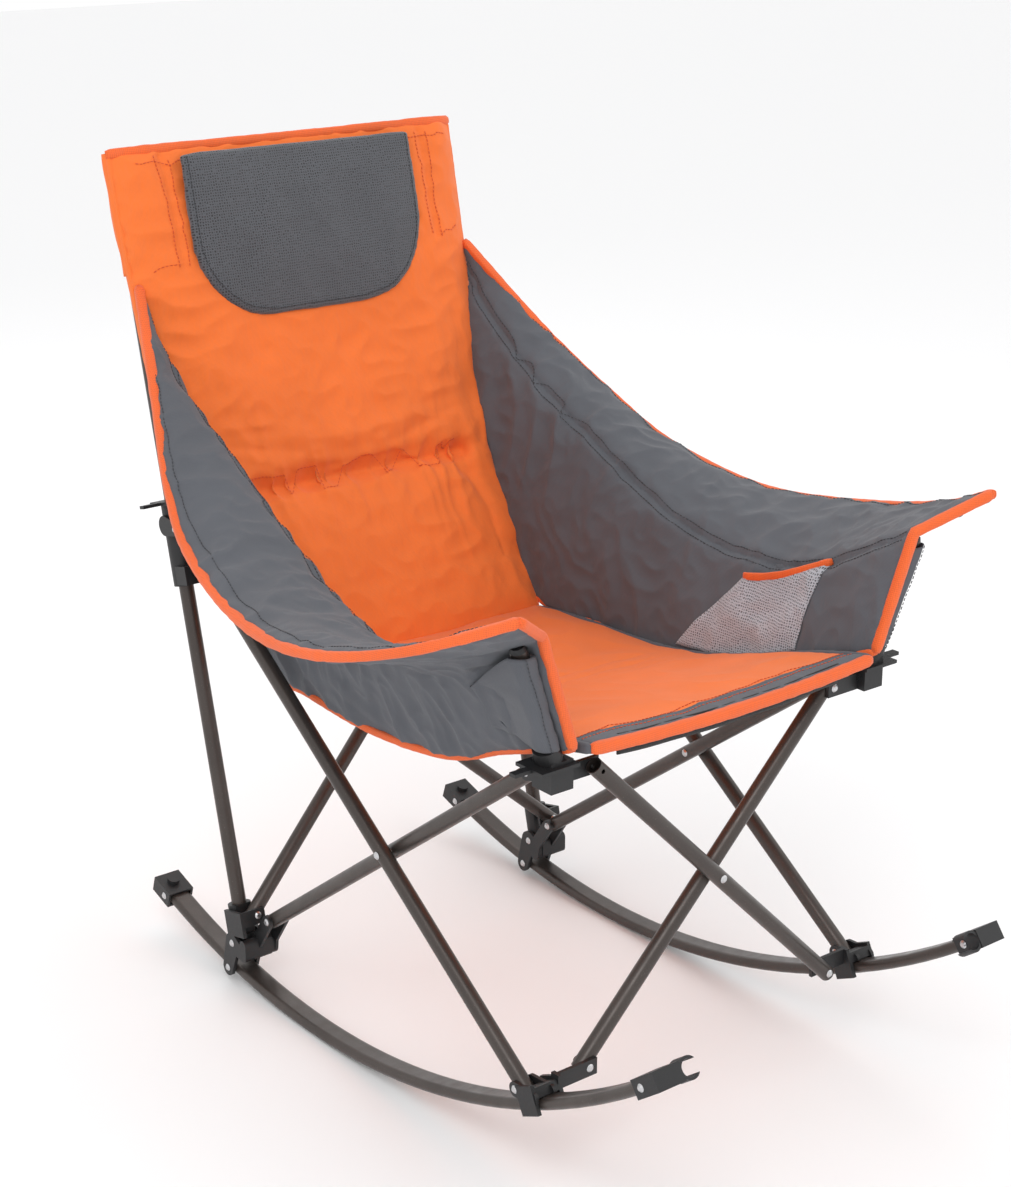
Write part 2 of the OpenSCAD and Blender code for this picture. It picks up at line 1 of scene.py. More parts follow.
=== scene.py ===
# Folding camp rocking chair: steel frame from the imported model, sewn seat and back made here
import bmesh
import bpy
import math
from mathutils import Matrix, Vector, noise
from mathutils.bvhtree import BVHTree
from mathutils.kdtree import KDTree


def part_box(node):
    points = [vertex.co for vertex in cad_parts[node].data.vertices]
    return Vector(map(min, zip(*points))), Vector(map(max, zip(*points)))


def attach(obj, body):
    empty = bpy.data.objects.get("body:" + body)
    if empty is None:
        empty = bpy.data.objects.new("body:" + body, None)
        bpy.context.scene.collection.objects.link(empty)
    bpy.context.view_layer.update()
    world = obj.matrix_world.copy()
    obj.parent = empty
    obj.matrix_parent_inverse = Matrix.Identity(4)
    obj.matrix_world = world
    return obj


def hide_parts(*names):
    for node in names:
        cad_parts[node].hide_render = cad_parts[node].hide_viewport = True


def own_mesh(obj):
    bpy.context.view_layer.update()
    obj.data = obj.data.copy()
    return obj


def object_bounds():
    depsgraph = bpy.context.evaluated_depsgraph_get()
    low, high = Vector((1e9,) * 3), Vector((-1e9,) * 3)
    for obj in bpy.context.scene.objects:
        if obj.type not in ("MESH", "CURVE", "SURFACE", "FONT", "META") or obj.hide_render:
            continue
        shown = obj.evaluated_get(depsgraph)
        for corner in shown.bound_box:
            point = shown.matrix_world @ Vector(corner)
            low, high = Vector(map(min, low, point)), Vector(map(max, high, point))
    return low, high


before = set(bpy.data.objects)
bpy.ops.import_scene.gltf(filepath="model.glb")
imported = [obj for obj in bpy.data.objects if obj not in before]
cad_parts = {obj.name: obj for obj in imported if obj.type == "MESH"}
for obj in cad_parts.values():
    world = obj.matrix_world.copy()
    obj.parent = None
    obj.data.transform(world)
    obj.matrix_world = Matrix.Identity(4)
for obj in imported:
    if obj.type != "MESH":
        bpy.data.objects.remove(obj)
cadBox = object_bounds()
scene = bpy.context.scene
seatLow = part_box("seat_panel")[0]
shiftY = seatLow.y + 0.283  # the fabric patterns below are laid out from the rear foot's drawing line
postX = 0.247


def point(x, y, z):
    return Vector((x, y + shiftY, z))


postLean = math.radians(13.2)


def onPost(x, s, n):
    # s runs up the rear posts from their foot, n is the depth ahead of them
    return point(x, 0.357 + s * math.sin(postLean) - n * math.cos(postLean),
                 0.060 + s * math.cos(postLean) + n * math.sin(postLean))


# ---- camera, light and floor ----
view = {"place": (-1.629, -1.919, 1.450), "azimuth": -38.56, "elevation": 19.12, "lens": 68.9}


def makeCamera():
    data = bpy.data.cameras.new("camera")
    data.lens = view["lens"]
    data.sensor_width = 36
    data.sensor_fit = "AUTO"
    cam = bpy.data.objects.new("camera", data)
    cam.location = point(*view["place"])
    cam.rotation_euler = (math.radians(90 - view["elevation"]), 0, math.radians(view["azimuth"]))
    scene.collection.objects.link(cam)
    scene.camera = cam


makeCamera()

studio = {"sky": 1.0, "key": 38, "fill": 12, "back": 16}


def makeStudio():
    scene.view_settings.view_transform = "Standard"
    world = bpy.data.worlds.new("studio")
    world.use_nodes = True
    sky = world.node_tree.nodes["Background"]
    sky.inputs["Color"].default_value = (1, 1, 1, 1)
    sky.inputs["Strength"].default_value = studio["sky"]
    scene.world = world
    for name, place, size, power in (
            ("keyLight", (-2.2, -2.0, 3.0), 1.8, studio["key"]),
            ("fillLight", (2.6, -1.8, 2.0), 2.6, studio["fill"]),
            ("backLight", (0.6, 2.6, 2.8), 2.2, studio["back"])):
        lamp = bpy.data.lights.new(name, "AREA")
        lamp.size = size
        lamp.energy = power
        o = bpy.data.objects.new(name, lamp)
        o.location = place
        o.rotation_euler = (Vector((0, 0, 0.5)) - Vector(place)).to_track_quat("-Z", "Y").to_euler()
        scene.collection.objects.link(o)
    mesh = bpy.data.meshes.new("studioFloor")
    r = 14
    mesh.from_pydata([(-r, -r, 0), (r, -r, 0), (r, r, 0), (-r, r, 0)], [], [(0, 1, 2, 3)])
    floor = bpy.data.objects.new("studioFloor", mesh)
    scene.collection.objects.link(floor)
    floor.location.z = cadBox[0].z - 0.0005
    mat = bpy.data.materials.new("palePaper")
    mat.use_nodes = True
    shader = mat.node_tree.nodes["Principled BSDF"]
    shader.inputs["Base Color"].default_value = (0.93, 0.93, 0.935, 1)
    shader.inputs["Roughness"].default_value = 0.7
    mesh.materials.append(mat)


makeStudio()
print("camera, light and floor made")


# ---- materials ----
def newMaterial(name):
    mat = bpy.data.materials.new(name)
    mat.use_nodes = True
    tree = mat.node_tree
    shader = tree.nodes["Principled BSDF"]
    coords = tree.nodes.new("ShaderNodeTexCoord")
    return mat, tree, shader, coords


def noiseNode(tree, coords, scale, detail=3.0, stretch=None):
    n = tree.nodes.new("ShaderNodeTexNoise")
    n.inputs["Scale"].default_value = scale
    n.inputs["Detail"].default_value = detail
    source = coords.outputs["Object"]
    if stretch:
        m = tree.nodes.new("ShaderNodeMapping")
        m.inputs["Scale"].default_value = stretch
        tree.links.new(source, m.inputs["Vector"])
        source = m.outputs["Vector"]
    tree.links.new(source, n.inputs["Vector"])
    return n.outputs["Fac"]


def mathNode(tree, kind, a, b):
    n = tree.nodes.new("ShaderNodeMath")
    n.operation = kind
    for i, v in enumerate((a, b)):
        if isinstance(v, (int, float)):
            n.inputs[i].default_value = v
        else:
            tree.links.new(v, n.inputs[i])
    return n.outputs[0]


def spread(tree, value, low, high, outLow, outHigh):
    n = tree.nodes.new("ShaderNodeMapRange")
    n.inputs["From Min"].default_value = low
    n.inputs["From Max"].default_value = high
    n.inputs["To Min"].default_value = outLow
    n.inputs["To Max"].default_value = outHigh
    tree.links.new(value, n.inputs["Value"])
    return n.outputs["Result"]


def blendColour(tree, fac, a, b):
    n = tree.nodes.new("ShaderNodeMix")
    n.data_type = "RGBA"
    tree.links.new(fac, n.inputs[0])
    for socket, v in ((n.inputs[6], a), (n.inputs[7], b)):
        if isinstance(v, tuple):
            socket.default_value = (*v, 1)
        else:
            tree.links.new(v, socket)
    return n.outputs[2]


def bump(tree, shader, height, strength, distance):
    n = tree.nodes.new("ShaderNodeBump")
    n.inputs["Strength"].default_value = strength
    n.inputs["Distance"].default_value = distance
    tree.links.new(height, n.inputs["Height"])
    tree.links.new(n.outputs["Normal"], shader.inputs["Normal"])


def bands(tree, coords, axis, period):
    n = tree.nodes.new("ShaderNodeTexWave")
    n.wave_type = "BANDS"
    n.bands_direction = axis
    n.inputs["Scale"].default_value = 2 * math.pi / (20 * period)
    n.inputs["Distortion"].default_value = 0.6
    n.inputs["Detail Scale"].default_value = 3.0
    tree.links.new(coords.outputs["Object"], n.inputs["Vector"])
    return n.outputs["Fac"]


def paintedTube(name, colour, flake):
    mat, tree, shader, coords = newMaterial(name)
    cloud = noiseNode(tree, coords, 9, 4)
    speck = noiseNode(tree, coords, 900, 2)
    tone = spread(tree, cloud, 0.3, 0.7, 0, 1)
    dark = tuple(c * 0.78 for c in colour)
    base = blendColour(tree, tone, dark, colour)
    base = blendColour(tree, spread(tree, speck, 0.66, 0.74, 0, 0.35), base, flake)
    tree.links.new(base, shader.inputs["Base Color"])
    shader.inputs["Metallic"].default_value = 0.45
    rough = noiseNode(tree, coords, 60, 3)
    tree.links.new(spread(tree, rough, 0.3, 0.7, 0.30, 0.44), shader.inputs["Roughness"])
    shader.inputs["Coat Weight"].default_value = 0.15
    shader.inputs["Coat Roughness"].default_value = 0.25
    bump(tree, shader, speck, 0.25, 0.0002)
    return mat


def mouldedPlastic(name, colour):
    mat, tree, shader, coords = newMaterial(name)
    grain = noiseNode(tree, coords, 1400, 2)
    cloud = noiseNode(tree, coords, 30, 3)
    base = blendColour(tree, cloud, tuple(c * 0.8 for c in colour), tuple(c * 1.25 for c in colour))
    tree.links.new(base, shader.inputs["Base Color"])
    tree.links.new(spread(tree, grain, 0.3, 0.7, 0.42, 0.6), shader.inputs["Roughness"])
    bump(tree, shader, grain, 0.35, 0.0002)
    return mat


def platedSteel(name):
    mat, tree, shader, coords = newMaterial(name)
    scratch = noiseNode(tree, coords, 420, 3, (1, 1, 6))
    base = blendColour(tree, scratch, (0.42, 0.42, 0.43), (0.72, 0.72, 0.73))
    tree.links.new(base, shader.inputs["Base Color"])
    shader.inputs["Metallic"].default_value = 1.0
    tree.links.new(spread(tree, scratch, 0.3, 0.7, 0.24, 0.42), shader.inputs["Roughness"])
    bump(tree, shader, scratch, 0.2, 0.0002)
    return mat


def weaveHeight(tree, coords, period):
    # each set of threads shows only where the cloth lies across it
    split = tree.nodes.new("ShaderNodeSeparateXYZ")
    tree.links.new(coords.outputs["Normal"], split.inputs[0])
    total = None
    for axis in "XYZ":
        facing = mathNode(tree, "POWER", mathNode(tree, "ABSOLUTE", split.outputs[axis], 0), 2)
        part = mathNode(tree, "MULTIPLY", bands(tree, coords, axis, period),
                        spread(tree, facing, 0.25, 0.75, 1, 0))
        total = part if total is None else mathNode(tree, "ADD", total, part)
    return mathNode(tree, "MULTIPLY", total, 0.5)


def wovenCloth(name, colour, period=0.0014, contrast=0.16, sheen=0.10, rough=0.85, second=None, line=None):
    # plain weave from crossed bands, with slubs and faint wear; a second colour lies ahead of a line in Y
    mat, tree, shader, coords = newMaterial(name)
    weave = weaveHeight(tree, coords, period)
    slub = noiseNode(tree, coords, 260, 2, (1, 1, 0.25))
    wear = noiseNode(tree, coords, 7, 4)
    body = mathNode(tree, "ADD", mathNode(tree, "MULTIPLY", weave, 0.6),
                    mathNode(tree, "MULTIPLY", slub, 0.4))
    tone = colour
    if second:
        split = tree.nodes.new("ShaderNodeSeparateXYZ")
        tree.links.new(coords.outputs["Object"], split.inputs[0])
        tone = blendColour(tree, mathNode(tree, "LESS_THAN", split.outputs["Y"], line), colour, second)
    dim = blendColour(tree, spread(tree, body, 0.1, 0.75, 0, 1), (1 - contrast,) * 3, (1.0,) * 3)
    faded = blendColour(tree, spread(tree, wear, 0.3, 0.7, 0, 1), (0.93,) * 3, (1.03,) * 3)
    shade = tree.nodes.new("ShaderNodeMix")
    shade.data_type = "RGBA"
    shade.blend_type = "MULTIPLY"
    shade.inputs[0].default_value = 1
    tree.links.new(dim, shade.inputs[6])
    tree.links.new(faded, shade.inputs[7])
    final = tree.nodes.new("ShaderNodeMix")
    final.data_type = "RGBA"
    final.blend_type = "MULTIPLY"
    final.inputs[0].default_value = 1
    if isinstance(tone, tuple):
        final.inputs[6].default_value = (*tone, 1)
    else:
        tree.links.new(tone, final.inputs[6])
    tree.links.new(shade.outputs[2], final.inputs[7])
    tree.links.new(final.outputs[2], shader.inputs["Base Color"])
    tree.links.new(spread(tree, slub, 0.3, 0.7, rough - 0.08, rough + 0.06), shader.inputs["Roughness"])
    shader.inputs["Sheen Weight"].default_value = sheen
    shader.inputs["Sheen Roughness"].default_value = 0.5
    bump(tree, shader, body, 0.45, 0.0006)
    return mat


def knitMesh(name, colour, gap, cell, lean, flat, clear=0.0):
    # spacer mesh: small round holes in a staggered net
    mat, tree, shader, coords = newMaterial(name)
    cells = tree.nodes.new("ShaderNodeTexVoronoi")
    cells.feature = "DISTANCE_TO_EDGE"
    cells.inputs["Scale"].default_value = 1 / cell
    cells.inputs["Randomness"].default_value = 0.35
    turned = tree.nodes.new("ShaderNodeMapping")
    turned.inputs["Rotation"].default_value = (lean, 0, 0)
    pressed = tree.nodes.new("ShaderNodeMapping")
    pressed.inputs["Scale"].default_value = flat
    tree.links.new(coords.outputs["Object"], turned.inputs["Vector"])
    tree.links.new(turned.outputs["Vector"], pressed.inputs["Vector"])
    tree.links.new(pressed.outputs["Vector"], cells.inputs["Vector"])
    hole = spread(tree, cells.outputs["Distance"], 0.16, 0.34, 0, 1)
    cloud = noiseNode(tree, coords, 14, 3)
    yarn = blendColour(tree, cloud, tuple(c * 0.85 for c in colour), tuple(c * 1.15 for c in colour))
    tree.links.new(blendColour(tree, hole, yarn, gap), shader.inputs["Base Color"])
    shader.inputs["Roughness"].default_value = 0.8
    shader.inputs["Sheen Weight"].default_value = 0.3
    shader.inputs["Sheen Roughness"].default_value = 0.5
    if clear:
        tree.links.new(spread(tree, hole, 0.0, 1.0, 1.0, 1.0 - clear), shader.inputs["Alpha"])
    bump(tree, shader, mathNode(tree, "SUBTRACT", 1.0, hole), 0.6, 0.0008)
    return mat


seatSeamY = -0.243 + shiftY
finishes = {
    "frame": paintedTube("frameBronze", (0.066, 0.053, 0.047), (0.30, 0.26, 0.22)),
    "plastic": mouldedPlastic("blackMoulding", (0.012, 0.012, 0.013)),
    "rivet": platedSteel("rivetSteel"),
    "orange": wovenCloth("orangeCloth", (0.92, 0.185, 0.028)),
    "seat": wovenCloth("seatCloth", (0.92, 0.185, 0.028), second=(0.100, 0.106, 0.122), line=seatSeamY),
    "grey": wovenCloth("greyCloth", (0.100, 0.106, 0.122), contrast=0.25),
    "binding": wovenCloth("orangeBinding", (0.88, 0.135, 0.020), period=0.0022, contrast=0.3, rough=0.7),
    "strap": wovenCloth("blackWebbing", (0.012, 0.012, 0.013), period=0.0025, contrast=0.4, rough=0.7),
    "padMesh": knitMesh("darkMesh", (0.085, 0.090, 0.102), (0.012, 0.013, 0.016), 0.0034,
                        postLean, (1, 0, 1)),
    "pocketMesh": knitMesh("paleMesh", (0.42, 0.43, 0.47), (0.12, 0.125, 0.14), 0.0032, 0, (0, 1, 1), 0.55),
    "orangeThread": wovenCloth("orangeThread", (0.70, 0.085, 0.012), period=0.001, rough=0.6),
    "darkThread": wovenCloth("darkThread", (0.030, 0.032, 0.038), period=0.001, rough=0.6),
}


def finishFrame():
    for name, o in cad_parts.items():
        if name.endswith(("rivets", "rivet")):
            mat = finishes["rivet"]
        elif name.endswith(("_post", "_leg", "_rocker")):
            mat = finishes["frame"]
        else:
            mat = finishes["plastic"]
        o.data.materials.clear()
        o.data.materials.append(mat)


finishFrame()
print("finishes made")


# ---- helpers for sewn pieces ----
def curveAt(rows, t):
    # smooth curve through evenly spaced stations, t from 0 to 1
    last = len(rows) - 1
    f = min(max(t, 0), 1) * last
    i = min(int(f), last - 1)
    u = f - i
    p0, p1, p2, p3 = rows[max(i - 1, 0)], rows[i], rows[i + 1], rows[min(i + 2, last)]
    return 0.5 * ((2 * p1) + (p2 - p0) * u + (2 * p0 - 5 * p1 + 4 * p2 - p3) * u * u
                  + (3 * p1 - p0 - 3 * p2 + p3) * u * u * u)


def smoothStep(a, b, x):
    t = min(max((x - a) / (b - a), 0), 1)
    return t * t * (3 - 2 * t)


def addMesh(name, verts, faces, mat):
    mesh = bpy.data.meshes.new(name)
    mesh.from_pydata([tuple(v) for v in verts], [], faces)
    mesh.materials.append(mat)
    mesh.validate()
    o = bpy.data.objects.new(name, mesh)
    scene.collection.objects.link(o)
    mesh.polygons.foreach_set("use_smooth", [True] * len(mesh.polygons))
    outward(o)
    return o


def outward(o):
    bm = bmesh.new()
    bm.from_mesh(o.data)
    bmesh.ops.remove_doubles(bm, verts=bm.verts, dist=1e-6)
    bmesh.ops.recalc_face_normals(bm, faces=bm.faces)
    bm.to_mesh(o.data)
    bm.free()


def padShell(name, middle, thick, rows, cols, mat, flip=1):
    # closed pad about a middle surface; thick(u, v) is its full thickness
    grid = [[middle(j / cols, i / rows) for j in range(cols + 1)] for i in range(rows + 1)]
    front, back = [], []
    for i in range(rows + 1):
        for j in range(cols + 1):
            du = grid[i][min(j + 1, cols)] - grid[i][max(j - 1, 0)]
            dv = grid[min(i + 1, rows)][j] - grid[max(i - 1, 0)][j]
            n = du.cross(dv).normalized() * flip
            h = thick(j / cols, i / rows) / 2
            front.append(grid[i][j] + n * h)
            back.append(grid[i][j] - n * h)
    w = cols + 1
    count = len(front)
    faces = []
    for i in range(rows):
        for j in range(cols):
            a = i * w + j
            faces.append((a, a + 1, a + w + 1, a + w))
            faces.append((count + a, count + a + w, count + a + w + 1, count + a + 1))
    ring = [j for j in range(w)] + [i * w + cols for i in range(1, rows + 1)]
    ring += [rows * w + j for j in range(cols - 1, -1, -1)] + [i * w for i in range(rows - 1, 0, -1)]
    for k in range(len(ring)):
        a, b = ring[k], ring[(k + 1) % len(ring)]
        faces.append((a, b, count + b, count + a))
    return addMesh(name, front + back, faces, mat), [(front[i] + back[i]) / 2 for i in ring]


def applyModifiers(o):
    dg = bpy.context.evaluated_depsgraph_get()
    mesh = bpy.data.meshes.new_from_object(o.evaluated_get(dg), depsgraph=dg)
    old = o.data
    mats = [m for m in old.materials]
    o.modifiers.clear()
    o.data = mesh
    if not mesh.materials:
        for m in mats:
            mesh.materials.append(m)
    mesh.polygons.foreach_set("use_smooth", [True] * len(mesh.polygons))
    bpy.data.meshes.remove(old)


def inflate(o, edge, voxel=0.005, pressure=4.0, cap=0.010, hold=0.012, still=None):
    # even mesh, then cloth under pressure with its sewn edge held, then one subdivision
    shell = BVHTree.FromPolygons([v.co for v in o.data.vertices], [f.vertices for f in o.data.polygons])
    m = o.modifiers.new("even", "REMESH")
    m.mode = "VOXEL"
    m.voxel_size = voxel
    m.use_smooth_shade = True
    applyModifiers(o)
    # back onto the drawn shell, which takes the voxel steps out
    for v in o.data.vertices:
        v.co = shell.find_nearest(v.co)[0]
    s = o.modifiers.new("ease", "SMOOTH")
    s.factor = 0.5
    s.iterations = 3
    applyModifiers(o)
    rest = [v.co.copy() for v in o.data.vertices]
    tree = KDTree(len(edge))
    for i, p in enumerate(edge):
        tree.insert(p, i)
    tree.balance()
    group = o.vertex_groups.new(name="sewnEdge")
    for i, p in enumerate(rest):
        d = tree.find(p)[2]
        w = 1 - smoothStep(hold * 0.5, hold * 1.5, d)
        if still and still(p):
            w = 1
        if w > 0:
            group.add([i], w, "REPLACE")
    c = o.modifiers.new("filling", "CLOTH")
    c.settings.quality = 4
    c.settings.mass = 0.25
    c.settings.use_pressure = True
    c.settings.uniform_pressure_force = pressure
    c.settings.tension_stiffness = 12
    c.settings.compression_stiffness = 8
    c.settings.shear_stiffness = 4
    c.settings.bending_stiffness = 0.4
    c.settings.vertex_group_mass = "sewnEdge"
    c.settings.effector_weights.gravity = 0
    c.collision_settings.use_collision = False
    c.point_cache.frame_start = 1
    c.point_cache.frame_end = 20
    for f in range(1, 21):
        scene.frame_set(f)
    dg = bpy.context.evaluated_depsgraph_get()
    done = o.evaluated_get(dg).data
    moved = [v.co.copy() for v in done.vertices]
    o.modifiers.clear()
    scene.frame_set(1)
    for i, v in enumerate(o.data.vertices):
        d = moved[i] - rest[i]
        v.co = rest[i] + (d * (cap / d.length) if d.length > cap else d)
    o.vertex_groups.clear()
    sub = o.modifiers.new("fine", "SUBSURF")
    sub.levels = sub.render_levels = 1
    applyModifiers(o)
    return o


def channel(o, path, depth, width, step=0.004):
    # a sewn line pressed into the pad
    dots = resample(path, step)
    tree = KDTree(len(dots))
    for i, p in enumerate(dots):
        tree.insert(p, i)
    tree.balance()
    normals = [v.normal.copy() for v in o.data.vertices]
    for i, v in enumerate(o.data.vertices):
        d = tree.find(v.co)[2]
        if d < width:
            v.co -= normals[i] * depth * (1 - d / width) ** 2
    o.data.update()


def ruffle(o, height, size, stretch=(1, 1, 1), where=None, seed=0.0):
    # loose folds: ridged noise along the surface normal
    normals = [v.normal.copy() for v in o.data.vertices]
    for i, v in enumerate(o.data.vertices):
        p = Vector((v.co.x * stretch[0], v.co.y * stretch[1], v.co.z * stretch[2])) / size
        k = 1 - abs(noise.noise(p + Vector((seed, seed * 2.3, 0)))) * 2.2
        k = max(k, -0.6) - 0.35
        f = where(v.co) if where else 1
        v.co += normals[i] * height * k * f
    o.data.update()


def resample(path, step):
    out = [path[0].copy()]
    for a, b in zip(path, path[1:]):
        n = max(1, int((b - a).length / step))
        out += [a.lerp(b, k / n) for k in range(1, n + 1)]
    return out


def evenPath(path, step):
    total = [0.0]
    for a, b in zip(path, path[1:]):
        total.append(total[-1] + (b - a).length)
    count = max(2, int(total[-1] / step))
    out, k = [], 0
    for i in range(count + 1):
        t = total[-1] * i / count
        while k < len(path) - 2 and total[k + 1] < t:
            k += 1
        f = (t - total[k]) / max(total[k + 1] - total[k], 1e-9)
        out.append(path[k].lerp(path[k + 1], f))
    return out


def binding(name, path, across, mat, width=0.011, thick=0.0085, step=0.006):
    # folded tape over a pad's edge; across(p) points off the edge, in the pad's plane
    pts = evenPath(path, step)
    profile = []
    for k in range(12):
        a = 2 * math.pi * k / 12
        x, y = math.cos(a), math.sin(a)
        profile.append((math.copysign(abs(x) ** 0.6, x) * width / 2,
                        math.copysign(abs(y) ** 0.6, y) * thick / 2))
    verts, faces = [], []
    m = len(profile)
    for i, p in enumerate(pts):
        t = (pts[min(i + 1, len(pts) - 1)] - pts[max(i - 1, 0)]).normalized()
        out = across(p, i / (len(pts) - 1))
        out = (out - t * out.dot(t)).normalized()
        up = t.cross(out)
        grow = 1 + 0.10 * noise.noise(p * 90)
        end = 0.75 if i in (0, len(pts) - 1) else 1
        for x, y in profile:
            verts.append(p + out * x * grow * end + up * y * grow * end)
    for i in range(len(pts) - 1):
        for k in range(m):
            a, b = i * m + k, i * m + (k + 1) % m
            faces.append((a, b, b + m, a + m))
    faces.append(tuple(range(m)))
    faces.append(tuple((len(pts) - 1) * m + k for k in range(m)))
    return addMesh(name, verts, faces, mat)


def stitchTree():
    # inputs: the seam line, stitch pitch, stitch length, thread size and thread
    tree = bpy.data.node_groups.new("stitchRow", "GeometryNodeTree")
    face = tree.interface
    face.new_socket(name="Seam", in_out="INPUT", socket_type="NodeSocketGeometry")
    pitch = face.new_socket(name="Pitch", in_out="INPUT", socket_type="NodeSocketFloat")
    length = face.new_socket(name="Stitch Length", in_out="INPUT", socket_type="NodeSocketFloat")
    size = face.new_socket(name="Thread Size", in_out="INPUT", socket_type="NodeSocketFloat")
    thread = face.new_socket(name="Thread", in_out="INPUT", socket_type="NodeSocketMaterial")
    face.new_socket(name="Stitches", in_out="OUTPUT", socket_type="NodeSocketGeometry")
    make = tree.nodes.new
    start, end = make("NodeGroupInput"), make("NodeGroupOutput")
    line = make("GeometryNodeMeshToCurve")
    dots = make("GeometryNodeResampleCurve")
    dots.mode = "LENGTH"
    one = make("GeometryNodeMeshCylinder")
    one.inputs["Vertices"].default_value = 6
    turn = make("FunctionNodeAlignRotationToVector")
    turn.axis = "Z"
    tangent = make("GeometryNodeInputTangent")
    place = make("GeometryNodeInstanceOnPoints")
    jitter = make("FunctionNodeRandomValue")
    jitter.data_type = "FLOAT"
    jitter.inputs[2].default_value = 0.85
    jitter.inputs[3].default_value = 1.1
    jitter.inputs["Seed"].default_value = 7
    real = make("GeometryNodeRealizeInstances")
    paint = make("GeometryNodeSetMaterial")
    link = tree.links.new
    link(start.outputs["Seam"], line.inputs[0])
    link(line.outputs[0], dots.inputs["Curve"])
    link(start.outputs["Pitch"], dots.inputs["Length"])
    link(start.outputs["Stitch Length"], one.inputs["Depth"])
    link(start.outputs["Thread Size"], one.inputs["Radius"])
    link(tangent.outputs[0], turn.inputs["Vector"])
    link(dots.outputs[0], place.inputs["Points"])
    link(one.outputs["Mesh"], place.inputs["Instance"])
    link(turn.outputs[0], place.inputs["Rotation"])
    link(jitter.outputs[1], place.inputs["Scale"])
    link(place.outputs[0], real.inputs[0])
    link(real.outputs[0], paint.inputs["Geometry"])
    link(start.outputs["Thread"], paint.inputs["Material"])
    link(paint.outputs[0], end.inputs[0])
    return tree, {"pitch": pitch.identifier, "length": length.identifier,
                  "size": size.identifier, "thread": thread.identifier}


stitches, stitchInputs = stitchTree()


def sew(name, paths, thread, pitch=0.0052, length=0.0034, size=0.00055):
    verts, edges = [], []
    for path in paths:
        start = len(verts)
        verts += [tuple(p) for p in path]
        edges += [(k, k + 1) for k in range(start, len(verts) - 1)]
    mesh = bpy.data.meshes.new(name)
    mesh.from_pydata(verts, edges, [])
    o = bpy.data.objects.new(name, mesh)
    scene.collection.objects.link(o)
    m = o.modifiers.new("stitches", "NODES")
    m.node_group = stitches
    m[stitchInputs["pitch"]] = pitch
    m[stitchInputs["length"]] = length
    m[stitchInputs["size"]] = size
    m[stitchInputs["thread"]] = thread
    applyModifiers(o)
    return o


def lay(path, o, lift=0.0008, toward=None):
    # drop a seam line onto a pad's surface
    out = []
    for p in path:
        hit, place, normal, _ = o.closest_point_on_mesh(p)
        if toward is not None and normal.dot(toward) < 0:
            ok, spot, n2, _ = o.ray_cast(p + toward * 0.06, -toward)
            if ok:
                place, normal = spot, n2
        out.append(place + normal * lift)
    return out


def along(o, body, axis, anchor, keep):
    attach(o, body)
    if axis:
        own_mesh(o)


narrow = dict(axis=(1, 0, 0), anchor=(-postX, 0, 0), keep=0.342)
shorten = dict(axis=(0, 1, 0), anchor=tuple(point(0, 0.43, 0)), keep=0.70)


# ---- back ----
back = {"rear": [(0.353, 0.106), (0.430, 0.078), (0.504, 0.060), (0.580, 0.042), (0.655, 0.024),
                 (0.760, 0.014), (0.886, 0.011), (1.012, 0.012)],
        "thick": 0.022, "crease": 0.572, "top": 1.010, "foot": 0.344, "sag": 0.012}


def backDepth(s):
    rows = back["rear"]
    for (s0, n0), (s1, n1) in zip(rows, rows[1:]):
        if s <= s1:
            t = (s - s0) / (s1 - s0)
            return n0 + (n1 - n0) * (t * t * (3 - 2 * t) * 0.4 + t * 0.6)
    return rows[-1][1]


def backHalf(s):
    return 0.219 + 0.034 * smoothStep(0.60, 0.74, s) + 0.005 * smoothStep(0.74, 0.98, s)


def backMiddle(u, s):
    x = (2 * u - 1) * backHalf(s)
    n = backDepth(s) + 0.012 - back["sag"] * (1 - (2 * u - 1) ** 2) * smoothStep(0.5, 0.75, s)
    n -= 0.020 * smoothStep(0.226, 0.262, abs(x)) * smoothStep(0.64, 0.72, s)
    n -= 0.004 * math.exp(-((s - back["crease"]) / 0.02) ** 2)
    return onPost(x, s, n)


def edgeThin(u, v, full, thin, ru, rv):
    e = min(min(u, 1 - u) / ru, min(v, 1 - v) / rv, 1)
    return thin + (full - thin) * math.sin(e * math.pi / 2)


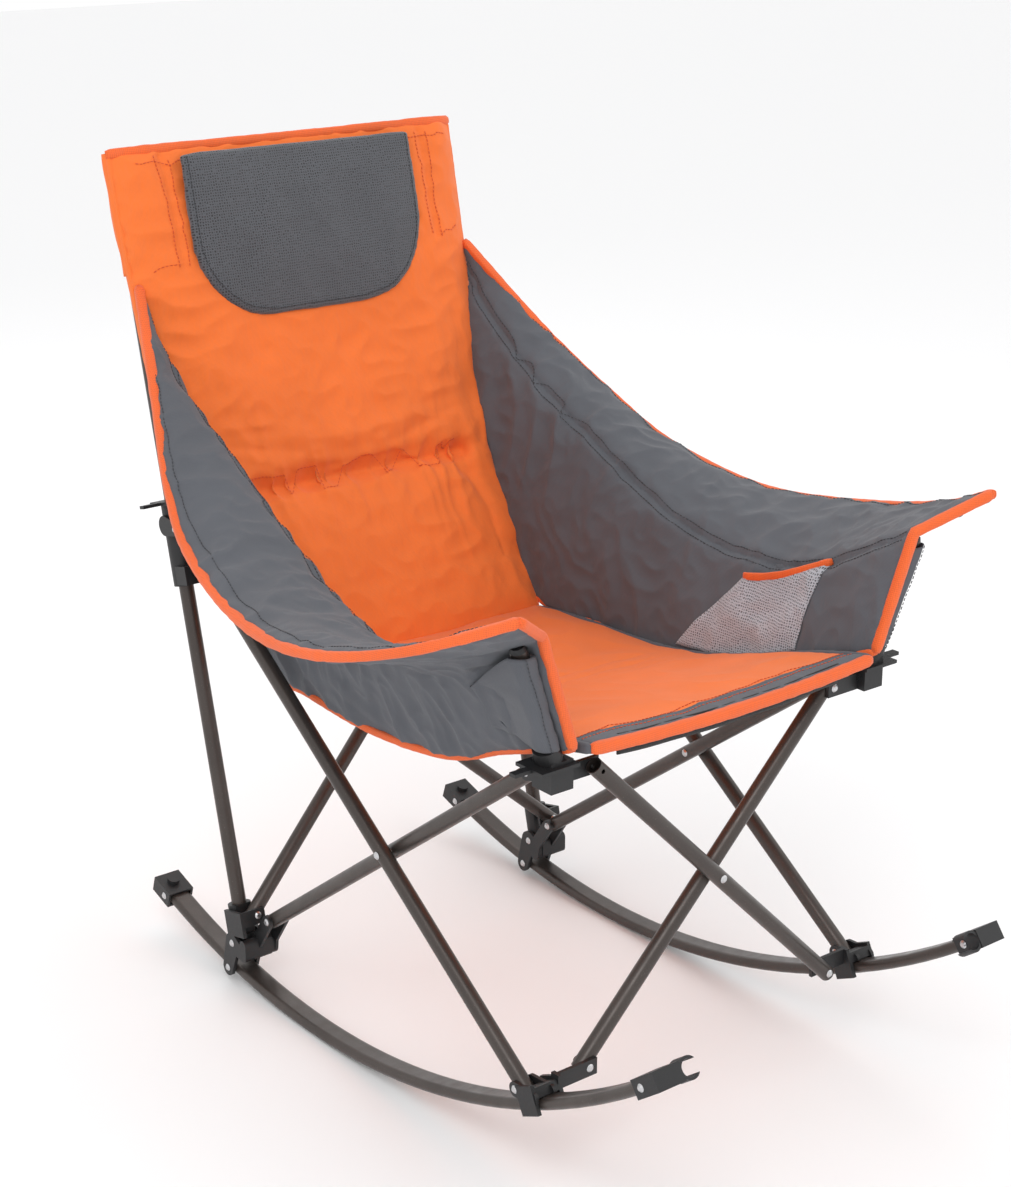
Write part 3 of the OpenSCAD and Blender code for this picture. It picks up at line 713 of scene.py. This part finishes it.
def makeBack():
    low, high = back["foot"], back["top"]
    o, ring = padShell("backPad", lambda u, v: backMiddle(u, low + (high - low) * v),
                       lambda u, v: edgeThin(u, v, back["thick"], 0.011, 0.06, 0.05),
                       70, 46, finishes["orange"])
    creaseDepth = backDepth(back["crease"]) + 0.012
    crease = [onPost((k / 30 - 1) * 0.168, back["crease"], creaseDepth) for k in range(61)]
    tack = [p + offset for p in resample(crease, 0.006) for offset in (ahead * 0.008, ahead * -0.008)]
    inflate(o, ring + tack, voxel=0.0055, cap=0.013, hold=0.013)
    creaseZ = crease[30].z

    def nearCrease(co):
        # folds gather toward the sewn crease and fade up the back
        d = abs(co.z - creaseZ)
        return math.exp(-d / 0.05) + 0.10

    ruffle(o, 0.0050, 0.055, (2.3, 1, 0.5), nearCrease, 3.1)
    ruffle(o, 0.0042, 0.11, (0.8, 1, 1.4),
           lambda co: smoothStep(0.08, 0.24, abs(co.x)) * smoothStep(1.0, 0.85, co.z), 5.7)
    ruffle(o, 0.0022, 0.040, (1, 1, 1.3), None, 1.4)
    channel(o, lay(crease, o, 0, ahead), 0.012, 0.026)
    # the crease turns down at its ends, as a sewn dart does
    for side in (-1, 1):
        dart = [onPost(side * x, s, backDepth(s) + 0.03)
                for x, s in ((0.150, 0.571), (0.168, 0.545), (0.178, 0.50), (0.183, 0.43))]
        channel(o, lay(dart, o, 0, ahead), 0.005, 0.022)
        hem = [onPost(side * 0.196, s, 0.05) for s in (1.005, 0.96, 0.91, 0.862)]
        channel(o, lay(hem, o, 0, ahead), 0.004, 0.012)
    return o


ahead = Vector((0, -1, 0.25)).normalized()
backPad = makeBack()
along(backPad, "right_rear", **narrow)
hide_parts("back_panel")
print("back pad made")

pockets = {"low": 0.862, "high": 1.012, "radius": 0.0125, "taper": 0.0025, "flare": 0.010, "crumple": 0.0012}


def makePostPocket(side):
    verts, faces = [], []
    rows, cols = 26, 28
    for i in range(rows + 1):
        t = i / rows
        s = pockets["low"] + (pockets["high"] - pockets["low"]) * t
        for j in range(cols):
            a = 2 * math.pi * j / cols
            r = pockets["radius"] - pockets["taper"] * (1 - smoothStep(0, 0.5, t))
            r += pockets["crumple"] * noise.noise(Vector((math.cos(a) * 2, math.sin(a) * 2, s * 30 + side)))
            x = postX * side + r * math.cos(a) * side * (1 + 0.25 * (math.cos(a) > 0))
            if math.cos(a) < 0:
                x = postX * side - (r + pockets["flare"] * 1.6) * abs(math.cos(a)) * side
            verts.append(onPost(x, s, r * math.sin(a) + 0.006 * (math.cos(a) < 0) * abs(math.cos(a))))
    for i in range(rows):
        for j in range(cols):
            a, b = i * cols + j, i * cols + (j + 1) % cols
            faces.append((a, b, b + cols, a + cols))
    faces.append(tuple(rows * cols + j for j in range(cols)))
    o = addMesh(("right" if side < 0 else "left") + "PostPocket", verts, faces, finishes["orange"])
    wall = o.modifiers.new("wall", "SOLIDIFY")
    wall.thickness = 0.0012
    wall.offset = 1
    applyModifiers(o)
    along(o, ("right" if side < 0 else "left") + "_rear", None, None, None)
    return o


for side in (-1, 1):
    makePostPocket(side)


def evenly(start, end, count):
    return [start + (end - start) * k / count for k in range(count + 1)]


def backSag(x):
    return back["sag"] * (1 - (x / 0.258) ** 2)


def makeBackTrim():
    top = [onPost(x, back["top"] + 0.001, 0.024 - 0.020 * smoothStep(0.226, 0.262, abs(x)) - backSag(x))
           for x in evenly(-0.262, 0.262, 24)]
    parts = [binding("backTopBinding", top, lambda p, t: Vector((0, 0.22, 1)),
                     finishes["binding"], 0.013, 0.0125)]
    for side, word in ((-1, "right"), (1, "left")):
        edge = [backMiddle(0 if side < 0 else 1, s) for s in evenly(back["top"], back["top"] - 0.40, 16)]
        parts.append(binding(word + "BackEdge", edge, lambda p, t, side=side: Vector((side, 0, 0)),
                             finishes["orange"], 0.009, 0.0125))
    for o in parts:
        along(o, "right_rear", **narrow)

    def seamRow(points):
        return lay([onPost(x, s, n) for x, s, n in points], backPad, 0.0006, ahead)

    rows = []
    for side in (-1, 1):
        for x in (0.194, 0.200):
            rows.append(seamRow((side * x, s, 0.06) for s in evenly(1.004, 0.864, 20)))
        rows.append(seamRow((side * x, 0.866, 0.06) for x in evenly(0.200, 0.245, 8)))
    rows.append(seamRow((x, 0.998, 0.06) for x in evenly(-0.245, 0.245, 60)))
    rows.append(seamRow((x, back["crease"] + 0.006, 0.08) for x in evenly(-0.16, 0.16, 50)))
    thread = sew("backStitches", rows, finishes["orangeThread"])
    along(thread, "right_rear", **narrow)


makeBackTrim()
print("post pockets and back trim made")

# ---- head pad ----
head = {"shift": -0.007, "ahead": 0.037, "half": 0.174, "height": 0.213, "corner": 0.105,
        "thick": 0.016, "top": 1.001}


def headOutline(v):
    d = v * head["height"] - (head["height"] - head["corner"])
    if d <= 0:
        return head["half"]
    return head["half"] - head["corner"] + math.sqrt(max(head["corner"] ** 2 - d ** 2, 0)) * 0.999


def makeHeadPad():
    def middle(u, v):
        x = (2 * u - 1) * max(headOutline(v), 0.071)
        s = head["top"] - v * head["height"]
        return onPost(x + head["shift"], s, backDepth(s) + head["ahead"] - backSag(x) * smoothStep(0.5, 0.75, s))

    o, ring = padShell("headPad", middle,
                       lambda u, v: edgeThin(u, v, head["thick"], 0.009, 0.10, 0.16),
                       40, 60, finishes["padMesh"], flip=-1)
    inflate(o, ring, voxel=0.005, cap=0.010, hold=0.012)
    ruffle(o, 0.0014, 0.07, (1, 1, 1), None, 2.2)
    side = [middle(0, k / 30) for k in range(31)]
    side += [middle(k / 12, 1) for k in range(1, 12)]
    side += [middle(1, 1 - k / 30) for k in range(31)]
    inner = [p + (middle(0.5, 0.4) - p).normalized() * 0.006 for p in side]
    rows = [lay([p + ahead * 0.02 for p in inner], o, 0.0006, ahead)]
    thread = sew("headPadStitches", rows, finishes["darkThread"])
    for piece in (o, thread):
        along(piece, "right_rear", **narrow)
    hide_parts("head_pad")


makeHeadPad()
print("head pad made")

# ---- side panels with their arm flaps ----
sides = {"thick": 0.013,
         "foot": [(216, 474, 694), (210, 410, 562), (211, 340, 446), (212, 226, 434),
                  (218, 80, 434), (218, -60, 452), (218, -160, 492), (221, -272, 531)],
         "seam": [(246, 529, 846), (247, 456, 778), (245, 353, 712), (249, 226, 645),
                  (256, 85, 582), (266, -50, 566), (272, -150, 588), (271, -278, 660)],
         "outer": [(253, 534, 882), (302, 420, 770), (345, 325, 690), (374, 235, 636),
                   (402, 85, 604), (424, -75, 618), (402, -215, 655), (345, -330, 706)]}


def station(name, t, side, lift):
    p = curveAt([Vector(c) for c in sides[name]], t) / 1000
    return point((p.x + lift[0]) * side, p.y, p.z + lift[2])


def sideMiddle(side):
    def middle(u, v):
        foot = station("foot", u, side, (0.0065, 0, 0))
        seam = station("seam", u, side, (0.004, 0, 0.007))
        outer = station("outer", u, side, (0, 0, 0.0065))
        if v < 0.5:
            t = v / 0.5
            p = foot.lerp(seam, t)
            # hangs in a little
            p.x += side * -0.010 * math.sin(math.pi * t) * math.sin(math.pi * min(u * 1.3, 1))
            return p
        t = (v - 0.5) / 0.5
        p = seam.lerp(outer, t)
        p.z += 0.014 * math.sin(math.pi * t) * math.sin(math.pi * u)
        return p
    return middle


def makeSide(side):
    word = "right" if side < 0 else "left"
    middle = sideMiddle(side)
    o, ring = padShell(word + "SidePad", middle,
                       lambda u, v: edgeThin(u, v, sides["thick"], 0.0085, 0.04, 0.08),
                       30, 64, finishes["grey"], flip=side)
    inflate(o, ring, voxel=0.0055, cap=0.007, hold=0.012)
    # folds that run down the panel from the seam, and loose cloth below the arm
    ruffle(o, 0.0040, 0.07, (1, 1.6, 0.7), lambda co: 1.0, 4.4 + side)
    ruffle(o, 0.0020, 0.03, (1, 1, 1), lambda co: 1.0, 9.1 + side)
    seam = [middle(k / 60, 0.5) for k in range(61)]
    inward = Vector((-side * 0.7, 0, 0.7))
    channel(o, lay([p + inward * 0.01 for p in seam], o, 0, inward), 0.006, 0.016)
    parts = [o]
    rim = [middle(k / 70, 1.0) for k in range(71)]

    def offRim(p, t):
        return Vector((side, 0, 0.1)) if t < 0.93 else Vector((side * 0.6, -0.8, 0.1))

    parts.append(binding(word + "FlapBinding", rim, offRim, finishes["binding"], 0.012, 0.0115))
    front = [middle(1, k / 24) for k in range(25)]
    parts.append(binding(word + "FrontBinding", front, lambda p, t: Vector((0, -1, 0)),
                         finishes["binding"], 0.012, 0.0115))
    foot = [middle(0.16 + 0.84 * k / 60, 0) for k in range(61)]
    parts.append(binding(word + "FootBinding", foot, lambda p, t: Vector((0, 0, -1)),
                         finishes["binding"], 0.010, 0.0105))
    rows = []
    for shift in (-0.006, 0.006):
        rows.append(lay([p + Vector((0, 0, shift)) + inward * 0.02 for p in seam[2:-2]], o, 0.0005, inward))
    inset = [middle(k / 70, 0.955) + Vector((0, 0, 0.02)) for k in range(71)]
    rows.append(lay(inset, o, 0.0005, Vector((0, 0, 1))))
    parts.append(sew(word + "SideStitches", rows, finishes["darkThread"]))
    for piece in parts:
        along(piece, word + "_slider", **shorten)
    for piece in parts[1:4]:
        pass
    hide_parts(word + "_side_panel", word + "_arm_flap")
    return o, middle


rightSide, rightMiddle = makeSide(-1)
leftSide, leftMiddle = makeSide(1)
print("side panels made")

# ---- mesh pocket inside the left panel ----
# places on the panel: along it for the foot and mouth, up it for low and high
meshPouch = {"foot": (0.600, 0.842), "mouth": (0.692, 0.862), "low": 0.03, "high": (0.41, 0.50),
             "bulge": 0.012, "clear": 0.0016}


def makePocket():
    outwards = Vector((1, 0, -0.2)).normalized()
    rows, cols = 22, 40
    verts, faces = [], []
    for i in range(rows + 1):
        for j in range(cols + 1):
            a, b = j / cols, i / rows
            uLow = meshPouch["foot"][0] + (meshPouch["foot"][1] - meshPouch["foot"][0]) * a
            uHigh = meshPouch["mouth"][0] + (meshPouch["mouth"][1] - meshPouch["mouth"][0]) * a
            u = uLow + (uHigh - uLow) * b
            top = meshPouch["high"][0] + (meshPouch["high"][1] - meshPouch["high"][0]) * a
            v = meshPouch["low"] + (top - meshPouch["low"]) * b
            p = leftMiddle(u, v)
            ok, spot, _, _ = leftSide.ray_cast(p + Vector((-0.08, 0, 0.02)), outwards)
            base = spot if ok else p - Vector((0.008, 0, 0))
            puff = math.sin(math.pi * j / cols) ** 0.6 * (0.25 + 0.75 * i / rows) * meshPouch["bulge"]
            puff += 0.0018 * noise.noise(p * 40)
            verts.append(base + Vector((-meshPouch["clear"] - puff, 0, 0.1 * puff)))
    w = cols + 1
    for i in range(rows):
        for j in range(cols):
            a = i * w + j
            faces.append((a, a + 1, a + w + 1, a + w))
    for f in faces:
        a, b, c, d = (verts[k] for k in f)
    o = addMesh("meshPocket", verts, faces, finishes["pocketMesh"])
    wall = o.modifiers.new("wall", "SOLIDIFY")
    wall.thickness = 0.0008
    applyModifiers(o)
    mouth = [verts[rows * w + j] for j in range(w)]
    trim = binding("pocketBinding", mouth, lambda p, t: Vector((0, 0, 1)),
                   finishes["binding"], 0.010, 0.005)
    for piece in (o, trim):
        along(piece, "left_slider", **shorten)
    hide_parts("mesh_pocket")


makePocket()
print("mesh pocket made")

# ---- seat ----
seat = {"half": 0.210, "front": -0.281, "rear": 0.324, "thick": 0.017, "sag": 0.030}


def seatMiddle(u, v):
    x = (2 * u - 1) * seat["half"]
    y = seat["front"] + (seat["rear"] - seat["front"]) * v
    z = 0.539 - 0.107 * v - seat["sag"] * math.sin(math.pi * v) ** 2
    z -= 0.009 * (1 - (2 * u - 1) ** 2) * (1 - smoothStep(0.1, 0.5, v))
    z -= 0.010
    return point(x, y, z)


def makeSeat():
    o, ring = padShell("seatPad", seatMiddle,
                       lambda u, v: edgeThin(u, v, seat["thick"], 0.011, 0.08, 0.06),
                       56, 42, finishes["seat"])
    inflate(o, ring, voxel=0.0055, cap=0.007, hold=0.012)
    ruffle(o, 0.0024, 0.075, (1.2, 1, 1), None, 6.3)
    up = Vector((0, 0, 1))
    seam = [point(-0.205 + 0.41 * k / 50, seatSeamY - shiftY, 0.56) for k in range(51)]
    channel(o, lay(seam, o, 0, up), 0.0035, 0.010)
    parts = [o]
    front = [seatMiddle(k / 40, 0) for k in range(41)]
    parts.append(binding("seatFrontBinding", front, lambda p, t: Vector((0, -1, 0)),
                         finishes["binding"], 0.012, 0.0135))
    for u, word, out in ((0, "right", -1), (1, "left", 1)):
        edge = [seatMiddle(u, k / 40) for k in range(41)]
        parts.append(binding(word + "SeatPiping", edge, lambda p, t, out=out: Vector((out, 0, 0)),
                             finishes["grey"], 0.008, 0.0125))
    rows = []
    for shift in (-0.003, 0.003):
        rows.append(lay([p + Vector((0, shift, 0)) for p in seam], o, 0.0005, up))
    parts.append(sew("seatStitches", rows, finishes["orangeThread"]))
    for piece in parts:
        along(piece, "seat", **narrow)
    for piece in parts[:2]:
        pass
    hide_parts("seat_panel")


makeSeat()
print("seat made")

# ---- strap under the seat's front edge ----
strap = {"half": 0.166, "width": 0.024, "thick": 0.0018, "sag": 0.006,
         "setBack": 0.008, "lift": 0.024, "wave": 0.0006}


def makeStrap():
    lo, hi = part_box("front_strap")
    mid = (lo + hi) / 2
    verts, faces = [], []
    rows, cols = 6, 60
    for i in range(rows + 1):
        for j in range(cols + 1):
            x = (2 * j / cols - 1) * strap["half"]
            sag = strap["sag"] * (1 - (x / strap["half"]) ** 2)
            y = mid.y + strap["setBack"] + strap["wave"] * math.sin(x * 60)
            z = mid.z - strap["width"] / 2 + strap["width"] * i / rows - sag + strap["lift"]
            verts.append(Vector((x, y, z)))
    w = cols + 1
    for i in range(rows):
        for j in range(cols):
            a = i * w + j
            faces.append((a, a + 1, a + w + 1, a + w))
    o = addMesh("frontStrap", verts, faces, finishes["strap"])
    wall = o.modifiers.new("wall", "SOLIDIFY")
    wall.thickness = strap["thick"]
    wall.offset = 0
    applyModifiers(o)
    along(o, "right_front_hub", **narrow)
    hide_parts("front_strap")


makeStrap()

# ---- sleeves over the arm posts ----
sleeve = {"radius": 0.0150, "clear": 0.003, "wall": 0.0014, "rows": 34, "crumple": 0.0016}


def makeSleeve(side):
    word = "right" if side < 0 else "left"
    low, high = point(0.235 * side, -0.249, 0.500), point(0.292 * side, -0.262, 0.652)
    middle = rightMiddle if side < 0 else leftMiddle
    roof = middle(0.87, 0.46).z - 0.014  # the tail ends below the arm flap
    verts, faces, seam = [], [], []
    rows, cols = sleeve["rows"], 48
    for i in range(rows + 1):
        t = 0.20 + 0.76 * i / rows
        c = low.lerp(high, t)
        r = sleeve["radius"]
        panel = middle(0.985, min(max((c.z - 0.531) / 0.13 * 0.5, 0.02), 0.48))
        tailEnd = middle(0.87, min(max((c.z - 0.512) / 0.13 * 0.5, 0.03), 0.40))
        for j in range(cols):
            g = 2 * math.pi * j / cols
            # from the front edge round the post's outer side, then a tail that lies on the panel
            x, y = math.cos(g), math.sin(g)
            p = c + Vector((side * r * x, -r * y, 0))
            if y < 0:
                pull = (-y) ** 1.5
                end = Vector((tailEnd.x + side * (0.010 if x > 0 else 0.0045), tailEnd.y, min(c.z, roof)))
                p = p.lerp(end, pull * 0.96)
            elif x < 0:
                p = p.lerp(Vector((panel.x + side * 0.006, p.y, c.z)), 0.5 * -x)
            crumple = noise.noise(Vector((x * 1.3, y * 1.3 + side, c.z * 45)))
            p.x += side * sleeve["crumple"] * crumple * (1 if x > 0 else 0.2)
            p.y += 0.0012 * noise.noise(Vector((x * 2 + 4, y * 2, c.z * 60)))
            verts.append(p)
            if j == 10:
                seam.append(p + Vector((side * 0.0010, -0.0012, 0)))
    for i in range(rows):
        for j in range(cols):
            a, b = i * cols + j, i * cols + (j + 1) % cols
            faces.append((a, b, b + cols, a + cols))
    pad = rightSide if side < 0 else leftSide
    for p in verts:
        # the sleeve stays on the panel's outer face
        hit, spot, _, _ = pad.ray_cast(Vector((p.x + 0.2 * side, p.y, p.z)), Vector((-side, 0, 0)))
        gap = (spot.x - p.x) * side + sleeve["clear"] if hit else 0
        if 0 < gap < 0.05:
            p.x += gap * side
    o = addMesh(word + "ArmSleeve", verts, faces, finishes["grey"])
    wall = o.modifiers.new("wall", "SOLIDIFY")
    wall.thickness = sleeve["wall"]
    wall.offset = -1
    applyModifiers(o)
    thread = sew(word + "SleeveStitches", [seam], finishes["darkThread"])
    for piece in (o, thread):
        along(piece, word + "_front_hub", None, None, None)
    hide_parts(word + "_arm_sleeve")


for side in (-1, 1):
    makeSleeve(side)
print("strap and sleeves made")
